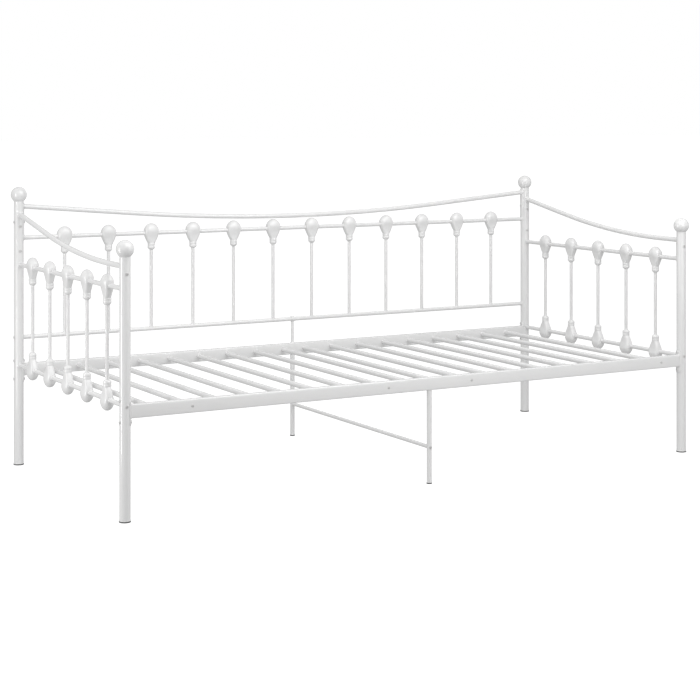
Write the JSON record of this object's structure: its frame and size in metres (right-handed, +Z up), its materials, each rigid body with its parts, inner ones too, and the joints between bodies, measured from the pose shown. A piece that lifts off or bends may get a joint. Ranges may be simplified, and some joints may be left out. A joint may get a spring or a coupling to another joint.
{
  "type": "daybed",
  "caption": "Tubular steel daybed with ball-topped posts, cast knuckles on spindled back and side panels, a round-tube slat base and braced centre legs.",
  "frame": {"origin": "centre of the bed's footprint, on the floor", "axes": "+X along the bed's length, +Y towards the back panel, +Z up"},
  "size_m": [2.092, 0.97, 0.916],
  "materials": {
    "powder_coat": "white semi-gloss powder coat over steel tube",
    "cast_paint": "white gloss coat over cast aluminium",
    "ball_paint": "white gloss moulded plastic ball",
    "foot_cap": "white moulded plastic",
    "foot_pad": "dark grey non-slip pad",
    "fastener": "zinc-plated steel"
  },
  "bodies": {
    "root": {"post_front_left": "powder_coat", "post_front_right": "powder_coat", "post_back_left": "powder_coat", "post_back_right": "powder_coat", "finial_front_left": "ball_paint", "finial_front_right": "ball_paint", "finial_back_left": "ball_paint", "finial_back_right": "ball_paint", "foot_front_left": "foot_cap", "foot_front_right": "foot_cap", "foot_back_left": "foot_cap", "foot_back_right": "foot_cap", "foot_pads": "foot_pad", "back_top_rail": "powder_coat", "back_upper_rail": "powder_coat", "back_lower_rail": "powder_coat", "back_spindles": "powder_coat", "back_castings": "cast_paint", "back_saddle_left": "powder_coat", "back_saddle_right": "powder_coat", "left_arm": "powder_coat", "left_upper_rail": "powder_coat", "left_lower_rail": "powder_coat", "left_spindles": "powder_coat", "left_upper_castings": "cast_paint", "left_lower_castings": "cast_paint", "left_front_saddle": "powder_coat", "left_back_saddle": "powder_coat", "right_arm": "powder_coat", "right_upper_rail": "powder_coat", "right_lower_rail": "powder_coat", "right_spindles": "powder_coat", "right_upper_castings": "cast_paint", "right_lower_castings": "cast_paint", "right_front_saddle": "powder_coat", "right_back_saddle": "powder_coat", "bed_rail_front": "powder_coat", "bed_rail_back": "powder_coat", "rail_bracket_front_left": "powder_coat", "rail_bracket_front_right": "powder_coat", "rail_bracket_back_left": "powder_coat", "rail_bracket_back_right": "powder_coat", "slats": "powder_coat", "slat_screws": "fastener", "slat_inserts": "fastener", "centre_leg_front": "powder_coat", "centre_leg_back": "powder_coat", "leg_studs": "fastener", "leg_caps": "foot_cap", "leg_pads": "foot_pad", "leg_brace": "powder_coat", "brace_screws": "fastener", "strut": "powder_coat", "strut_clip": "powder_coat", "panel_bolts": "fastener", "panel_nuts": "powder_coat", "rail_bolts": "fastener", "rail_nuts": "powder_coat", "rail_end_inserts": "fastener"}
  },
  "joints": []
}
